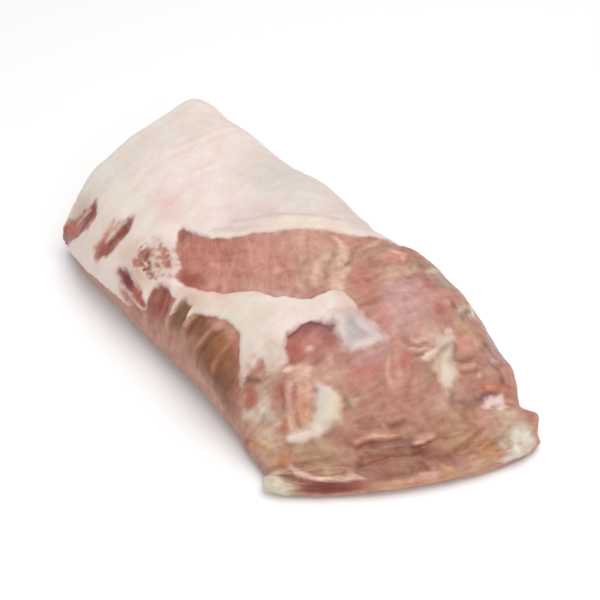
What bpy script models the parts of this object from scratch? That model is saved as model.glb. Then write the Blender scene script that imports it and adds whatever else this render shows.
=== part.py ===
"""Boneless pork sirloin: the sirloin end and part of the loin of one pig, in one piece.

It lies on its lean underside with the fat cap on top. +X runs along the piece to the sirloin end,
where it slopes down to a thin flap. -Y is the rib side, +Y the back, and z = 0 is the flat underside.

The solid is a loft. Each section across the piece is a lopsided superellipse, and its sizes change
along the length as the tuples below say. Low forms, such as the edge of the fat cap, the muscles that
were opened by trimming and the crease above the flap, are then raised or sunk along the surface.
"""
import math

import bmesh
import bpy
import numpy as np

NODE_NAME = "pork_sirloin"
MM = 0.001

# Length between the first and the last section, without their rounded ends.
FAR_END = -168 * MM
NEAR_END = 149 * MM
FAR_FACE_BULGE = 7 * MM
FLAP_LIP_BULGE = 9 * MM

# A size that changes along the piece: its value at the far end, then each change and the stretch of
# the length over which the change eases in. Lengths are in millimetres.
RIB_SIDE_REACH = (73, (6, -168, -110), (3, 80, 120), (8, 134, 150))
BACK_REACH = (79, (3, -168, -110), (10, -10, 65), (-24, 70, 155))
TOP_HEIGHT = (76, (4, -168, -110), (-3, -60, 65), (-62, 74, 152))
CREST_OFFSET = (44, (-8, -168, 30), (-36, 40, 134))
WAIST_HEIGHT = (20, (6, -168, -60), (-20, 50, 147))
BOW = (0, (16, 50, 134))
SKEW = (-0.11, (0.53, -140, 165))
SHOULDER_POWER = (1.7, (0.6, -150, 30))

BACK_POWER = 2.2
FOOT_POWER = 3.2
FOOT_DEPTH = 1.15
BOW_HALF_WIDTH = 98
FLOOR_HEIGHT = 0.0
FOOT_HEIGHT = 12

# Grid of the solid: rings along the length and points round each ring, closer together on top.
FACE_RINGS = 8
LIP_RINGS = 6
RINGS = 98
POINTS_ROUND = 60
TOP_CROWDING = 0.35

# Places on the surface are (run, girth) in millimetres: run is measured from the far end along the
# top line, and girth round the section from the top line, positive towards the rib side.
FAT_CAP = ((-60, -98), (190, -98), (203, -60), (199, -22), (188, -1), (173, 19), (159, 48), (145, 63),
           (115, 72), (130, 85), (150, 91), (165, 104), (144, 112), (146, 128), (120, 136), (-60, 142))
FAT_BAND = ((150, 98), (176, 98), (200, 88), (218, 69), (243, 50), (240, 29), (266, 20), (286, 7),
            (296, 18), (288, 32), (269, 37), (261, 58), (284, 69), (284, 82), (278, 100), (246, 94),
            (214, 96), (194, 106), (160, 106))
FAT_CAP_RISE = 3.5
FAT_BAND_RISE = 1.8
FAT_EDGE_WIDTH = 8

SIDE_MUSCLE_CENTRE = (240, 118)
SIDE_MUSCLE_RADII = (38, 26)
SIDE_MUSCLE_RISE = 3.0
BUTTON_CENTRE = (277, 53)
BUTTON_RADII = (18, 18)
BUTTON_RISE = 4.5
RING_CENTRE = (316, 60)
RING_RADII = (28, 27)
RING_RISE = 3.5
RING_CORE_CENTRE = (317, 63)
RING_CORE_RADII = (15, 9)
RING_CORE_SINK = 2.0

# Where the ribs were cut out: the centre and the half sizes of each hollow.
RIB_HOLLOWS = (((26, 112), (11, 18)), ((68, 110), (12, 24)), ((119, 120), (26, 10)),
               ((161, 118), (14, 18)), ((186, 117), (9, 16)), ((207, 112), (13, 12)))
RIB_SINK = 1.8

SEAM = ((291, -33), (304, -30), (319, -30), (324, -30))
SEAM_SINK = 1.0
SEAM_WIDTH = 10
CREASE = ((338, -50), (341, -28), (349, -9), (354, 6), (353, 24), (352, 38), (346, 48))
CREASE_SINK = 3.0
CREASE_WIDTH = 12
FLAP_LIP_OFFSET = 10
FLAP_LIP_RISE = 2.2
NOTCH_CENTRE = (334, -62)
NOTCH_RADII = (12, 16)
NOTCH_SINK = 6.0

# Broad swells and dips of the muscles under the surface: centre, half sizes and rise.
SWELLS = (((8, -14), (26, 30), 3.5), ((2, 118), (42, 42), -6.0), ((90, -22), (40, 36), -1.8),
          ((142, -25), (40, 44), 4.0), ((186, -34), (13, 26), -1.5), ((224, -38), (30, 36), 5.5),
          ((256, -56), (20, 24), 2.0), ((273, -66), (18, 26), -4.0), ((314, -78), (24, 26), 4.5),
          ((353, -74), (17, 20), 9.0), ((364, 98), (12, 12), 4.0))

MEAT_COLOUR = (0.55, 0.26, 0.20, 1.0)
MEAT_ROUGHNESS = 0.45


def ease(value, start, end):
    """Go smoothly from 0 at start to 1 at end."""
    t = np.clip((value - start) / (end - start), 0.0, 1.0)
    return t * t * (3.0 - 2.0 * t)


def along_length(size, station):
    """Value of a size that changes along the piece, at each station in millimetres."""
    value = np.full_like(station, float(size[0]))
    for amount, start, end in size[1:]:
        value = value + amount * ease(station, start, end)
    return value


def section_point(station, turn):
    """Across and height, in millimetres, of the section at a station, at an angle round it."""
    across, up = np.cos(turn), np.sin(turn)
    crest = along_length(CREST_OFFSET, station)
    waist = along_length(WAIST_HEIGHT, station)
    rib_side = crest + along_length(RIB_SIDE_REACH, station)
    back = along_length(BACK_REACH, station) - crest
    half_width = np.where(across < 0, rib_side, back)
    height = np.where(up >= 0, along_length(TOP_HEIGHT, station) - waist, waist * FOOT_DEPTH)
    shoulder = along_length(SHOULDER_POWER, station)
    power = np.where(up < 0, FOOT_POWER, np.where(across < 0, shoulder, BACK_POWER))
    reach = (np.abs(across) ** power + np.abs(up) ** power) ** (-1.0 / power)
    return crest + half_width * across * reach, waist + height * up * reach


def signed_distance(run, girth, outline):
    """Distance to a closed outline on the unrolled surface, positive inside it."""
    nearest = np.full_like(run, 1e9)
    inside = np.zeros(run.shape, dtype=bool)
    for (r0, g0), (r1, g1) in zip(outline, outline[1:] + outline[:1]):
        dr, dg = r1 - r0, g1 - g0
        t = np.clip(((run - r0) * dr + (girth - g0) * dg) / (dr * dr + dg * dg), 0.0, 1.0)
        nearest = np.minimum(nearest, np.hypot(run - r0 - t * dr, girth - g0 - t * dg))
        if g0 != g1:
            crosses = ((g0 > girth) != (g1 > girth)) & (run < r0 + (girth - g0) * dr / dg)
            inside ^= crosses
    return np.where(inside, nearest, -nearest)


def line_distance(run, girth, line):
    """Distance to an open line on the unrolled surface."""
    nearest = np.full_like(run, 1e9)
    for (r0, g0), (r1, g1) in zip(line, line[1:]):
        dr, dg = r1 - r0, g1 - g0
        t = np.clip(((run - r0) * dr + (girth - g0) * dg) / (dr * dr + dg * dg), 0.0, 1.0)
        nearest = np.minimum(nearest, np.hypot(run - r0 - t * dr, girth - g0 - t * dg))
    return nearest


def dome(run, girth, centre, radii):
    """1 at the centre of an oval patch, easing to 0 at its rim."""
    away = np.hypot((run - centre[0]) / radii[0], (girth - centre[1]) / radii[1])
    return 1.0 - ease(away, 0.0, 1.0)


def relief(run, girth):
    """Height of the low forms above the plain loft, in millimetres."""
    cap = signed_distance(run, girth, FAT_CAP)
    band = signed_distance(run, girth, FAT_BAND)
    half_edge = FAT_EDGE_WIDTH / 2
    height = FAT_CAP_RISE * ease(cap, -half_edge, half_edge)
    height = np.maximum(height, FAT_BAND_RISE * ease(band, -half_edge, half_edge))

    height = height + SIDE_MUSCLE_RISE * dome(run, girth, SIDE_MUSCLE_CENTRE, SIDE_MUSCLE_RADII)
    height = height + BUTTON_RISE * dome(run, girth, BUTTON_CENTRE, BUTTON_RADII)
    height = height + RING_RISE * dome(run, girth, RING_CENTRE, RING_RADII)
    height = height - RING_CORE_SINK * dome(run, girth, RING_CORE_CENTRE, RING_CORE_RADII)
    for centre, radii in RIB_HOLLOWS:
        height = height - RIB_SINK * dome(run, girth, centre, radii)

    height = height - SEAM_SINK * (1.0 - ease(line_distance(run, girth, SEAM), 0.0, SEAM_WIDTH))
    crease = line_distance(run, girth, CREASE)
    height = height - CREASE_SINK * (1.0 - ease(crease, 0.0, CREASE_WIDTH))
    lip = tuple((r + FLAP_LIP_OFFSET, g) for r, g in CREASE[1:-1])
    height = height + FLAP_LIP_RISE * (1.0 - ease(line_distance(run, girth, lip), 0.0, CREASE_WIDTH))
    height = height - NOTCH_SINK * dome(run, girth, NOTCH_CENTRE, NOTCH_RADII)
    for centre, radii, rise in SWELLS:
        height = height + rise * dome(run, girth, centre, radii)
    return height


def ring_rule(ring):
    """Station, scale and end bulge of each ring, counted from the near end to the far end."""
    body_rings = RINGS - FACE_RINGS - LIP_RINGS
    lip = np.clip(ring / LIP_RINGS, 0.0, 1.0)
    face = np.clip((RINGS - ring) / FACE_RINGS, 0.0, 1.0)
    step = np.clip((ring - LIP_RINGS) / body_rings, 0.0, 1.0)
    station = (NEAR_END + (FAR_END - NEAR_END) * step) / MM
    bulge = FLAP_LIP_BULGE / MM * np.sqrt(1.0 - lip ** 2) - FAR_FACE_BULGE / MM * np.sqrt(1.0 - face ** 3)
    return station, lip * face, bulge


def lofted_points(ring, turn):
    """Points of the loft, in millimetres, for a grid of ring numbers and angles."""
    station, scale, bulge = ring_rule(ring)
    y, z = section_point(station, turn)
    z = np.maximum(z, FLOOR_HEIGHT)
    middle_y = (y.min(axis=1) + y.max(axis=1))[:, None] / 2
    middle_z = (z.min(axis=1) + z.max(axis=1))[:, None] / 2
    y = middle_y + (y - middle_y) * scale
    z = middle_z + (z - middle_z) * scale
    x = station + bulge + along_length(SKEW, station) * y
    x = x + along_length(BOW, station) * (1.0 - (y / BOW_HALF_WIDTH) ** 2)
    return np.stack(np.broadcast_arrays(x, y, z), axis=-1)


def unrolled(points):
    """Run and girth of each grid point, in millimetres, measured along the lofted surface."""
    top = POINTS_ROUND // 2
    steps = np.linalg.norm(np.diff(points[:, top], axis=0), axis=1)
    run = np.concatenate(([0.0], np.cumsum(steps)))
    run = run[RINGS - FACE_RINGS] - run
    around = np.linalg.norm(np.diff(points, axis=1), axis=2)
    girth = np.concatenate((np.zeros((len(points), 1)), np.cumsum(around, axis=1)), axis=1)
    return np.broadcast_to(run[:, None], girth.shape), girth - girth[:, top][:, None]


def outward(points):
    """Unit normals of the lofted grid, pointing out of the meat."""
    along = np.gradient(points, axis=0)
    around = (np.roll(points, -1, axis=1) - np.roll(points, 1, axis=1)) / 2
    normal = np.cross(along, around)
    return normal / np.maximum(np.linalg.norm(normal, axis=2, keepdims=True), 1e-9)


def meat_grid():
    """All points of the piece, ring by ring, in metres."""
    ring = np.arange(RINGS + 1, dtype=float)[:, None]
    even_turn = np.arange(POINTS_ROUND)[None, :] * 2 * math.pi / POINTS_ROUND - math.pi / 2
    turn = even_turn + TOP_CROWDING * np.cos(even_turn)
    points = lofted_points(ring, turn)
    run, girth = unrolled(points)
    height = relief(run, girth)
    # The ends close in one point each, and the underside stays flat.
    height = height * ring_rule(ring)[1] * ease(points[..., 2], 0.0, FOOT_HEIGHT)
    points = points + outward(points) * height[..., None]
    points[..., 2] = np.maximum(points[..., 2], FLOOR_HEIGHT)
    return points * MM


def meat_material():
    """Moist raw pork."""
    material = bpy.data.materials.new("raw_pork")
    material.use_nodes = True
    shader = material.node_tree.nodes["Principled BSDF"]
    shader.inputs["Base Color"].default_value = MEAT_COLOUR
    shader.inputs["Roughness"].default_value = MEAT_ROUGHNESS
    shader.inputs["Metallic"].default_value = 0.0
    return material


def build():
    """Shape a sphere's rings and segments into the piece of meat."""
    for old in list(bpy.data.objects):
        bpy.data.objects.remove(old, do_unlink=True)
    collection = bpy.data.collections.new("boneless_pork_sirloin")
    bpy.context.scene.collection.children.link(collection)

    grid = meat_grid()
    shape = bmesh.new()
    bmesh.ops.create_uvsphere(shape, u_segments=POINTS_ROUND, v_segments=RINGS, radius=1.0)
    for vertex in shape.verts:
        x, y, z = vertex.co
        ring = round(math.acos(max(-1.0, min(1.0, z))) / math.pi * RINGS)
        segment = round(math.atan2(y, x) / (2 * math.pi) * POINTS_ROUND) % POINTS_ROUND
        vertex.co = grid[ring, segment]
    mesh = bpy.data.meshes.new(NODE_NAME)
    shape.to_mesh(mesh)
    shape.free()
    mesh.shade_smooth()
    mesh.materials.append(meat_material())
    meat = bpy.data.objects.new(NODE_NAME, mesh)
    collection.objects.link(meat)

    # The origin is the middle of the box at its foot.
    corners = np.array([corner[:] for corner in meat.bound_box])
    middle = (corners.min(axis=0) + corners.max(axis=0)) / 2
    for vertex in mesh.vertices:
        vertex.co.x -= middle[0]
        vertex.co.y -= middle[1]


build()
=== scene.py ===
"""Looks of a raw boneless pork sirloin: its fine surface, its colours and a plain pale studio."""
import math

import bpy
import numpy as np
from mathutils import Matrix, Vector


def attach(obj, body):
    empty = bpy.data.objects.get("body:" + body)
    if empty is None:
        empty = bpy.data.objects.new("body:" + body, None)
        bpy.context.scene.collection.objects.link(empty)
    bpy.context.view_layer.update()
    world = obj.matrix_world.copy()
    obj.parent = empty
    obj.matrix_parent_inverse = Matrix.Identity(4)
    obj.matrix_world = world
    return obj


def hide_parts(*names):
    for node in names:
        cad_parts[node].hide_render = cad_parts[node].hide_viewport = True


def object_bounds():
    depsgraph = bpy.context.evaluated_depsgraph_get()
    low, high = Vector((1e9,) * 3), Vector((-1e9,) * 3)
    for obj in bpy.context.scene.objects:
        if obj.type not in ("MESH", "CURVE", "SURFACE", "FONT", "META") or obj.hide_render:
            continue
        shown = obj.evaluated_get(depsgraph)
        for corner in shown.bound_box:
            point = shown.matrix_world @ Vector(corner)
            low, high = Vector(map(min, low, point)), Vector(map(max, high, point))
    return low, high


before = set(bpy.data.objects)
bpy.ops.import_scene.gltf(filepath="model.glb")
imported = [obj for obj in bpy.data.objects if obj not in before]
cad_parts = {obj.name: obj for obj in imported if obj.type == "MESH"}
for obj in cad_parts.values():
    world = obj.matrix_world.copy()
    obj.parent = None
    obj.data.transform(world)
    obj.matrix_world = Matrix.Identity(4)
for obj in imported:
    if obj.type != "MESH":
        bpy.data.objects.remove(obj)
cad_low, cad_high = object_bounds()

# ---------------------------------------------------------------------------------- plain form
# The joint is the sirloin end and part of the loin of one pig, boned and trimmed by hand. It lies
# on its lean underside, and towards +X it slopes down to the thin flap left where the leg was cut
# away. Its sections are the same lopsided superellipses as the solid's, on a finer grid.

# Lengths are in millimetres until the relief is done.
FAR_END = -168
NEAR_END = 149
FAR_FACE_BULGE = 7
FLAP_LIP_BULGE = 9

# A changing size is its first value, here the one at the far end, then each change and the stretch
# over which it eases in, here along the length.
RIB_SIDE_REACH = (73, (6, -168, -110), (3, 80, 120), (8, 134, 150))
BACK_REACH = (79, (3, -168, -110), (10, -10, 65), (-24, 70, 155))
TOP_HEIGHT = (76, (4, -168, -110), (-3, -60, 65), (-62, 74, 152))
CREST_OFFSET = (44, (-8, -168, 30), (-36, 40, 134))
WAIST_HEIGHT = (20, (6, -168, -60), (-20, 50, 147))
BOW = (0, (16, 50, 134))
SKEW = (-0.11, (0.53, -140, 165))
SHOULDER_POWER = (1.7, (0.6, -150, 30))
BACK_POWER = 2.2
FOOT_POWER = 3.2
FOOT_DEPTH = 1.15
BOW_HALF_WIDTH = 98

RINGS = 380
LIP_RINGS = 12
FACE_RINGS = 50
FACE_RIM = RINGS - FACE_RINGS
POINTS_ROUND = 260
TOP_CROWDING = 0.35


def ease(value, start, end):
    """Go smoothly from 0 at start to 1 at end, as 3t^2 - 2t^3."""
    t = np.clip((value - start) / (end - start), 0.0, 1.0)
    return t * t * (3.0 - 2.0 * t)


def changing(size, place):
    """A size's value at each place: its first value plus each change, eased in."""
    value = np.full_like(place, float(size[0]))
    for amount, start, end in size[1:]:
        value = value + amount * ease(place, start, end)
    return value


def section_point(station, turn):
    """Point of a section: |across/width|^n + |up/height|^n = 1, with its own n in each quarter."""
    across, up = np.cos(turn), np.sin(turn)
    crest = changing(CREST_OFFSET, station)
    waist = changing(WAIST_HEIGHT, station)
    rib_side = crest + changing(RIB_SIDE_REACH, station)
    back = changing(BACK_REACH, station) - crest
    half_width = np.where(across < 0, rib_side, back)
    height = np.where(up >= 0, changing(TOP_HEIGHT, station) - waist, waist * FOOT_DEPTH)
    shoulder = changing(SHOULDER_POWER, station)
    power = np.where(up < 0, FOOT_POWER, np.where(across < 0, shoulder, BACK_POWER))
    reach = (np.abs(across) ** power + np.abs(up) ** power) ** (-1.0 / power)
    return crest + half_width * across * reach, waist + height * up * reach


def ring_rule(ring):
    """Station, scale and end bulge of each ring, counted from the near end to the far end."""
    lip = np.clip(ring / LIP_RINGS, 0.0, 1.0)
    face = np.clip((RINGS - ring) / FACE_RINGS, 0.0, 1.0)
    step = np.clip((ring - LIP_RINGS) / (FACE_RIM - LIP_RINGS), 0.0, 1.0)
    station = NEAR_END + (FAR_END - NEAR_END) * step
    bulge = FLAP_LIP_BULGE * np.sqrt(1.0 - lip ** 2) - FAR_FACE_BULGE * np.sqrt(1.0 - face ** 3)
    return station, lip * face, bulge


def lofted_points(ring, turn):
    """The loft: scaled sections, skewed along x by their y, bowed towards the near end."""
    station, scale, bulge = ring_rule(ring)
    y, z = section_point(station, turn)
    z = np.maximum(z, 0.0)
    middle_y = (y.min(axis=1) + y.max(axis=1))[:, None] / 2
    middle_z = (z.min(axis=1) + z.max(axis=1))[:, None] / 2
    y = middle_y + (y - middle_y) * scale
    z = middle_z + (z - middle_z) * scale
    x = station + bulge + changing(SKEW, station) * y
    x = x + changing(BOW, station) * (1.0 - (y / BOW_HALF_WIDTH) ** 2)
    return np.stack(np.broadcast_arrays(x, y, z), axis=-1)


def unrolled(points):
    """Run along the top line and girth round each section, the lengths of the grid's edges added up."""
    top = POINTS_ROUND // 2
    steps = np.linalg.norm(np.diff(points[:, top], axis=0), axis=1)
    run = np.concatenate(([0.0], np.cumsum(steps)))
    run = run[FACE_RIM] - run
    around = np.linalg.norm(np.diff(points, axis=1), axis=2)
    girth = np.concatenate((np.zeros((len(points), 1)), np.cumsum(around, axis=1)), axis=1)
    return np.broadcast_to(run[:, None], girth.shape), girth - girth[:, top][:, None]


ring = np.arange(RINGS + 1, dtype=float)[:, None]
even_turn = np.arange(POINTS_ROUND)[None, :] * 2 * math.pi / POINTS_ROUND - math.pi / 2
turn = even_turn + TOP_CROWDING * np.cos(even_turn)
plain = lofted_points(ring, turn)
plain_x, plain_y, plain_z = plain[..., 0], plain[..., 1], plain[..., 2]
run, girth = unrolled(plain)

# ---------------------------------------------------------------------------------- fat and lean
# Trimming left a smooth fat cap over the loin, a bent band of fat and sinew below the opened loin
# muscle, and bare lean elsewhere. Places are (run, girth) in millimetres on the unrolled surface:
# run from the far end along the top, girth round the section, positive towards the rib side.

# Outlines of the cap, of the band, and of the film of silver skin at the band's near end.
FAT_CAP = ((-60, -98), (2, -96), (26, -99), (52, -91), (72, -94), (96, -102), (120, -96), (148, -89),
           (164, -93), (176, -86), (185, -91), (190, -84), (187, -77), (196, -71), (203, -65), (200, -58),
           (205, -50), (202, -34), (199, -22), (197, -13), (193, -5), (188, -1), (179, 9), (173, 19),
           (168, 29), (163, 39), (159, 48), (152, 57), (145, 63), (137, 67), (128, 70), (115, 72),
           (121, 79), (130, 85), (143, 88), (150, 91), (151, 97), (165, 99), (165, 104), (150, 107),
           (144, 112), (146, 128), (120, 136), (60, 142), (-60, 142))
FAT_BAND = ((150, 98), (166, 97), (177, 95), (188, 90), (199, 84), (205, 79), (211, 72), (218, 67),
            (226, 63), (232, 58), (237, 53), (241, 48), (244, 42), (243, 35), (240, 29), (246, 24),
            (256, 21), (266, 20), (271, 22), (273, 30), (269, 37), (264, 43), (262, 50), (261, 58),
            (263, 65), (272, 68), (284, 69), (287, 76), (284, 82), (272, 84), (274, 92), (278, 100),
            (270, 101), (258, 98), (246, 94), (236, 95), (224, 96), (214, 99), (206, 103), (197, 106),
            (194, 116), (189, 104), (183, 106), (177, 118), (172, 108), (160, 106), (150, 105))
SILVER_SKIN = ((262, 34), (264, 24), (269, 16), (278, 10), (286, 6), (289, 3), (290, 9), (291, 18),
               (291, 28), (286, 33), (277, 36))
# A stroke is a line with a half width at each of its points. These are the crescent of white fat round
# the small muscle, and the seam of fat in the near lean.
CRESCENT = ((306, 51, 2.0), (311, 48.5, 5.0), (318, 47.5, 8.6), (325, 48, 8.2), (331, 54, 5.6),
            (335, 60, 4.6), (336, 66, 4.2), (334, 73, 3.4))
SEAM = (((290, -36, 2.4), (295, -34, 4.4), (300, -31, 5.2), (304, -30, 4.6)),
        ((304, -30, 4.6), (311, -29, 6.6), (317, -29, 6.8), (321, -29, 4.0)),
        ((302, -26, 1.8), (304, -21, 2.2), (305, -18, 0.8)))
# Pale flecks: the knuckle of fat above the flap, the stripes on its tip, then those on the back.
FAT_FLECKS = (((333, -67, 2.4), (336, -60, 3.6), (338, -54, 3.0), (340, -49, 1.2)),
              ((335, -68, 1.0), (340, -64, 1.8), (343, -58, 1.0)),
              ((208, -99, 0.8), (222, -95, 2.0), (238, -92, 2.4), (256, -95, 0.8)),
              ((230, -93, 0.8), (238, -85, 1.6), (250, -81, 0.6)))
# The slots in the cap's edge where the lean between the trimmed ribs shows.
RIB_SLOTS = (((21, 100, 2.0), (24, 107, 6.0), (25, 113, 9.5), (18, 121, 9.0), (9, 129, 8.5), (4, 137, 8.0)),
             ((70, 94, 4.0), (71, 99, 7.0), (69, 106, 9.0), (67, 113, 10.0), (63, 121, 7.0)),
             ((57, 103, 1.2), (59, 110, 3.0), (62, 117, 3.6)),
             ((97, 122, 2.0), (106, 122, 4.0), (120, 123, 4.4), (134, 124, 3.8), (143, 126, 1.8)),
             ((106, 130, 1.4), (116, 131, 3.2), (128, 133, 3.2), (138, 135, 1.6)),
             ((150, 110, 4.0), (156, 115, 8.6), (160, 122, 10.4), (166, 134, 10.0)),
             ((180, 106, 3.0), (186, 112, 7.4), (190, 124, 8.0)))
# The frayed patch below the window: its centre, half sizes and the level share of its middle, then
# how far the fat is eaten away there, and how its islands of lean are drawn out along x.
FRAYED = ((120, 101), (31, 17), 0.4)
FRAYED_DEPTH = 1.8
ISLAND_STRETCH = (0.4, 1.0, 1.0)
# Nowhere does a place count as further inside the fat than this, and the band fades along the run.
DEEPEST_FAT = 1.5
BAND_SHARE = (1.0, (-0.6, 255, 268))
# A patchy film of fat clings to the underside. It fades out with height and ends under the flap.
FILM_SCARCITY = 0.7
FILM_SHARE = (1.0, (-1.0, 3, 16))
FILM_LOSS = (0.0, (3.0, 2, 16))
FILM_END = 330
FILM_END_LOSS = 3.0
# Small patches fade out more slowly at their edges than the cap, so their distances count for less.
SLOT_SHARPNESS = 0.38
SILVER_SHARPNESS = 0.35
CRESCENT_SHARPNESS = 0.4
SEAM_SHARPNESS = 0.35
FLECK_SHARPNESS = 0.5
LATTICE_NODES = 32


def lumps(place, size, seed):
    """Smooth random lumps of a size: seeded values on a cubic lattice, eased between its nodes."""
    lattice = np.random.default_rng(seed).uniform(-1.0, 1.0, (LATTICE_NODES,) * 3)
    cell = place / size
    low = np.floor(cell).astype(int)
    part = cell - low
    part = part * part * (3.0 - 2.0 * part)
    total = np.zeros(place.shape[:-1])
    for corner in np.ndindex(2, 2, 2):
        weight = np.prod(np.where(corner, part, 1.0 - part), axis=-1)
        index = (low + corner) % LATTICE_NODES
        total = total + weight * lattice[index[..., 0], index[..., 1], index[..., 2]]
    return total


def rough(*layers):
    """Layers of lumps over the plain form added up, each with its rise, size and seed."""
    return sum(rise * lumps(plain, size, seed) for rise, size, seed in layers)


# Knife and grain leave no straight edge, so the places are bent a little before they are used.
bent_run = run + rough((1.5, 9.0, 11), (0.7, 3.6, 12))
bent_girth = girth + rough((1.5, 9.0, 13), (0.7, 3.6, 14))
unevenness = rough((0.9, 4.5, 15), (0.4, 2.2, 16))


def segment_distance(start, end):
    """Distance to a straight line between two places, and how far along it the nearest point is."""
    dr, dg = end[0] - start[0], end[1] - start[1]
    along = (bent_run - start[0]) * dr + (bent_girth - start[1]) * dg
    t = np.clip(along / (dr * dr + dg * dg), 0.0, 1.0)
    return np.hypot(bent_run - start[0] - t * dr, bent_girth - start[1] - t * dg), t


def line_distance(line):
    """Distance to a line of straight parts: the least of the distances to its parts."""
    return np.min([segment_distance(start, end)[0] for start, end in zip(line, line[1:])], axis=0)


def patch(outline):
    """Distance to an outline, positive inside it, where a ray along run crosses it an odd number
    of times."""
    closed = outline + outline[:1]
    inside = np.zeros(bent_run.shape, dtype=bool)
    for start, end in zip(closed, closed[1:]):
        if start[1] != end[1]:
            slope = (end[0] - start[0]) / (end[1] - start[1])
            spans = (start[1] > bent_girth) != (end[1] > bent_girth)
            inside ^= spans & (bent_run < start[0] + (bent_girth - start[1]) * slope)
    nearest = line_distance(closed)
    return np.where(inside, nearest, -nearest)


def stroke(line, raggedness=1.0):
    """Distance to a stroke's edge, positive inside: its half width less the distance to its line."""
    deepest = np.full_like(bent_run, -np.inf)
    for start, end in zip(line, line[1:]):
        distance, t = segment_distance(start, end)
        deepest = np.maximum(deepest, start[2] + (end[2] - start[2]) * t - distance)
    return deepest + raggedness * unevenness


def strokes(lines):
    """Distance to the edge of several strokes taken together: the greatest of theirs."""
    return np.max([stroke(line) for line in lines], axis=0)


def from_middle(across, up, centre, radii):
    """Distance from the middle of an oval, where 1 is its rim."""
    return np.hypot((across - centre[0]) / radii[0], (up - centre[1]) / radii[1])


def dome(centre, radii, level=0.0):
    """1 over the level middle share of an oval patch, easing to 0 at its rim."""
    return 1.0 - ease(from_middle(bent_run, bent_girth, centre, radii), level, 1.0)


cap = patch(FAT_CAP)
band = patch(FAT_BAND)
silver = patch(SILVER_SKIN)
slots = strokes(RIB_SLOTS)
crescent = stroke(CRESCENT, raggedness=0.5)
seam = strokes(SEAM)
flecks = strokes(FAT_FLECKS)

# How far inside the edge of the fat each place lies, below 0 on the lean.
outer_fat = np.minimum(np.maximum(cap, band), -SLOT_SHARPNESS * slots)
islands = 3.0 * lumps(plain * ISLAND_STRETCH, 3.4, 41) + rough((2.2, 2.4, 43))
outer_fat = np.minimum(outer_fat, DEEPEST_FAT - dome(*FRAYED) * (FRAYED_DEPTH + islands))
outer_fat = outer_fat * changing(BAND_SHARE, bent_run)
film = (rough((2.0, 21.0, 44), (0.8, 6.0, 45)) - FILM_SCARCITY) * changing(FILM_SHARE, plain_z)
film = film - changing(FILM_LOSS, plain_z) - FILM_END_LOSS * (bent_run > FILM_END)
outer_fat = np.max([outer_fat, film, SILVER_SHARPNESS * silver, CRESCENT_SHARPNESS * crescent,
                    SEAM_SHARPNESS * seam, FLECK_SHARPNESS * flecks], axis=0)

# ---------------------------------------------------------------------------------- the cut face
# The far end is one straight knife cut across the loin. It shows the loin eye, the small muscle
# over it, the layered strips towards the ribs, and the cap's fat as a rim that is thick on the back.

# Each muscle of the cut: its middle (y, z) and half sizes. The first is the loin eye.
MUSCLES = (((22, 34), (60, 36)), ((-34, 60), (36, 11)), ((-76, 36), (22, 15)), ((-50, 12), (34, 12)),
           ((-50, 38), (16, 12)))
# Thickness of the rim of fat along the girth, the share of it that is left towards the foot, and how
# far it stays from the rim where none is left.
RIM_FAT = (12.0, (-3.0, -70, -10), (-3.5, 40, 120))
RIM_SHARE = (0.0, (1.0, -112, -92), (-1.0, 128, 150))
RIM_LOSS = 2.0
# Width of the seams along y, how fast nearness counts against it, and how sharply their edges end.
FACE_SEAM_WIDTH = (2.9, (-1.2, -60, 0))
FACE_SEAM_STEEPNESS = 15.0
FACE_SEAM_SHARPNESS = 0.7

on_face = np.broadcast_to(ring > FACE_RIM, girth.shape)
rim_depth = np.linalg.norm(plain - plain[FACE_RIM], axis=2) * on_face
rim_fat = changing(RIM_FAT, girth[FACE_RIM]) * changing(RIM_SHARE, girth[FACE_RIM]) - RIM_LOSS
rim_fat = rim_fat + rough((1.2, 7.0, 23)) - rim_depth
face_y = plain_y + rough((2.4, 13.0, 21), (0.8, 4.0, 24))
face_z = plain_z + rough((2.4, 13.0, 22), (0.8, 4.0, 25))
# A seam of fat runs where two muscles are as near as each other, thicker here and thinner there.
nearness = np.sort([from_middle(face_y, face_z, middle, half) for middle, half in MUSCLES], axis=0)
face_seams = changing(FACE_SEAM_WIDTH, plain_y) + rough((1.3, 9.0, 26))
face_seams = face_seams - FACE_SEAM_STEEPNESS * (nearness[1] - nearness[0])
fat = np.where(on_face, np.maximum(rim_fat, FACE_SEAM_SHARPNESS * face_seams), outer_fat)

# ---------------------------------------------------------------------------------- relief
# The cap stands a few millimetres proud of the lean, muscles swell where their skin was opened, and
# the slope ends in a crease above the flap, whose edge hangs in two thin layers.

# Changing sizes: how far each patch stands out of the lean, or is sunk in it, by the distance inside
# its edge. The cap thickens further in.
CAP_RISE = (0.0, (3.5, -2.0, 3.0))
CAP_SHARE = (0.7, (0.3, 0.0, 14.0))
BAND_RISE = (0.0, (1.8, -1.5, 2.5))
FLECK_RISE = (0.0, (0.7, -1.0, 1.5))
SLOT_RISE = (0.0, (-1.6, -2.0, 2.5))
CRESCENT_RISE = (0.0, (1.6, -2.0, 3.5))
# The crease above the flap and the fuller lean below it, by the distance from their lines.
CREASE = ((338, -50), (341, -28), (349, -9), (354, 6), (353, 24), (352, 38), (346, 48))
CREASE_RISE = (-3.0, (3.0, 0.0, 12.0))
BELOW_CREASE = 10.0
BELOW_CREASE_RISE = (2.2, (-2.2, 0.0, 11.0))
# The seams of the near lean and of the window lie in shallow grooves.
WINDOW_SEAM = ((191, -2, 0.8), (204, 1, 1.8), (214, 6, 3.0), (222, 13, 3.2), (230, 21, 3.0),
               (241, 27, 3.0))
SEAM_GROOVE_DEPTH = 1.1
SEAM_GROOVE_WIDTH = 5.0
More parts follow.
